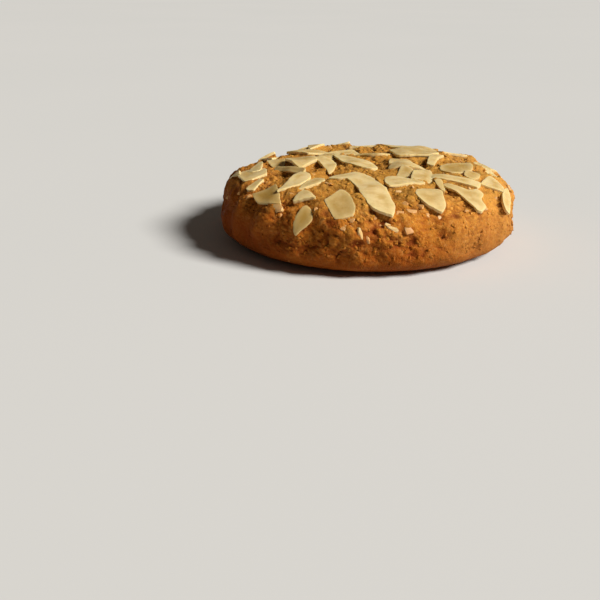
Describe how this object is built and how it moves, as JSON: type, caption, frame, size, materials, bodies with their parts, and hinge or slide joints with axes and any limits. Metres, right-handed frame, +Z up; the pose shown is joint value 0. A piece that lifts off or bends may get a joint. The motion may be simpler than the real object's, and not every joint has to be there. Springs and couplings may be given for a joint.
{
  "type": "almond cookie",
  "caption": "Thick round domed cookie with a crumbly golden-brown crust, a flat foot, and broken almond slices baked into its top and shoulders.",
  "frame": {"origin": "the middle of the flat foot that the cookie rests on", "axes": "+Z up out of the crown; the side that the picture shows faces -Y"},
  "size_m": [0.064, 0.0647, 0.0182],
  "materials": {
    "crust": "golden-brown baked crust, crumbly and matte, with a smoother browned rim and dark pits and cracks",
    "almond": "pale cream almond, softly satin on its cut faces, with lighter broken edges"
  },
  "bodies": {
    "root": {"cookie": "crust"}
  },
  "joints": []
}
